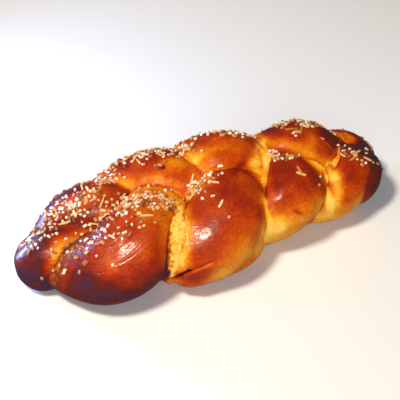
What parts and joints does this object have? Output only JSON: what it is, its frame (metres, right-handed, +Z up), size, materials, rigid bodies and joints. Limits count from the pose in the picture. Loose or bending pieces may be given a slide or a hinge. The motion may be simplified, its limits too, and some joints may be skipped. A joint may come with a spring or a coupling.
{
  "type": "braided sweet bread",
  "caption": "Plaited sweet loaf of three strands with a glazed crust, strewn with chopped almonds and pearl sugar, resting on its flat base.",
  "frame": {"origin": "centre of the loaf's flat underside, on the surface that it rests on", "axes": "+X along the plait towards the lighter, narrower end; +Y towards the back row of lobes; +Z up"},
  "size_m": [0.3843, 0.1616, 0.0834],
  "materials": {
    "crust": "egg-washed baked crust, glossy red-brown on the lobes and golden in the creases, strewn with almonds and sugar"
  },
  "bodies": {
    "root": {"loaf": "crust"}
  },
  "joints": []
}
